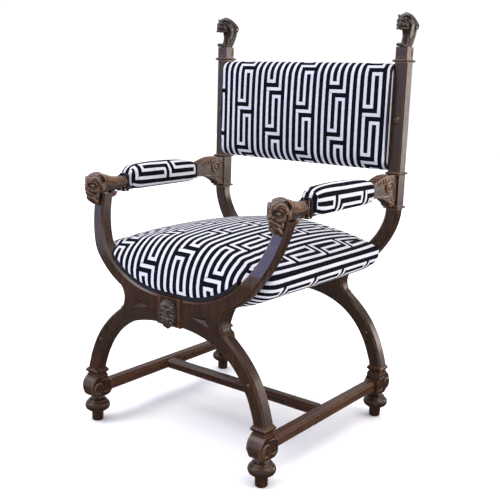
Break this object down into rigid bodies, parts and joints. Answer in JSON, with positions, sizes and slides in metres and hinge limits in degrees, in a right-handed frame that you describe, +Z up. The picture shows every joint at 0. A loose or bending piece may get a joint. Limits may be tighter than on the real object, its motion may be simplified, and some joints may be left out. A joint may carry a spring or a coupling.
{
  "type": "curule armchair",
  "caption": "Rigid X-frame armchair with carved lion-head arms, turned feet, a barrel seat, padded arms and a padded back between finial-topped posts.",
  "frame": {"origin": "on the floor under the middle of the chair", "axes": "+Z up, the sitter looks along -Y, X across the seat; right is +X"},
  "size_m": [0.642, 0.6015, 1.09],
  "materials": {
    "frame_wood": "polished dark walnut",
    "carved_wood": "polished dark walnut, worn lighter on the high places",
    "hidden_wood": "plain, unfinished",
    "patterned_fabric": "woven, black and off-white pattern",
    "black_braid": "braided trim",
    "webbing": "woven strap",
    "stuffing": "loose fibre",
    "dust_cloth": "thin woven cloth"
  },
  "bodies": {
    "root": {"arm_front_band_left": "black_braid", "arm_front_band_right": "black_braid", "arm_head_left": "carved_wood", "arm_head_right": "carved_wood", "arm_pad_left": "patterned_fabric", "arm_pad_right": "patterned_fabric", "arm_rail_left": "carved_wood", "arm_rail_right": "carved_wood", "arm_rear_band_left": "black_braid", "arm_rear_band_right": "black_braid", "back_bottom_rail": "hidden_wood", "back_cover": "patterned_fabric", "back_stuffing": "stuffing", "back_top_rail": "hidden_wood", "back_webbing": "webbing", "cross_stretcher": "frame_wood", "crossing_dowels": "hidden_wood", "finial_left": "carved_wood", "finial_right": "carved_wood", "foot_front_left": "frame_wood", "foot_front_right": "frame_wood", "foot_rear_left": "frame_wood", "foot_rear_right": "frame_wood", "front_centre_block": "frame_wood", "front_frame_left": "frame_wood", "front_frame_right": "frame_wood", "front_lion_mask": "carved_wood", "leg_collar_front_left": "frame_wood", "leg_collar_front_right": "frame_wood", "leg_collar_rear_left": "frame_wood", "leg_collar_rear_right": "frame_wood", "leg_studs": "frame_wood", "lower_collar_left": "frame_wood", "lower_collar_right": "frame_wood", "mid_collar_left": "frame_wood", "mid_collar_right": "frame_wood", "post_left": "frame_wood", "post_right": "frame_wood", "rear_centre_block": "frame_wood", "rear_frame_left": "frame_wood", "rear_frame_right": "frame_wood", "scroll_block_front_left": "frame_wood", "scroll_block_front_right": "frame_wood", "scroll_block_rear_left": "frame_wood", "scroll_block_rear_right": "frame_wood", "seat_cover": "patterned_fabric", "seat_dust_cloth": "dust_cloth", "seat_front_gimp": "black_braid", "seat_lower_rail_left": "hidden_wood", "seat_lower_rail_right": "hidden_wood", "seat_stuffing": "stuffing", "seat_upper_rail_left": "hidden_wood", "seat_upper_rail_right": "hidden_wood", "seat_webbing": "webbing", "side_stretcher_left": "frame_wood", "side_stretcher_right": "frame_wood", "top_block_left": "frame_wood", "top_block_right": "frame_wood", "upper_collar_left": "frame_wood", "upper_collar_right": "frame_wood"}
  },
  "joints": []
}
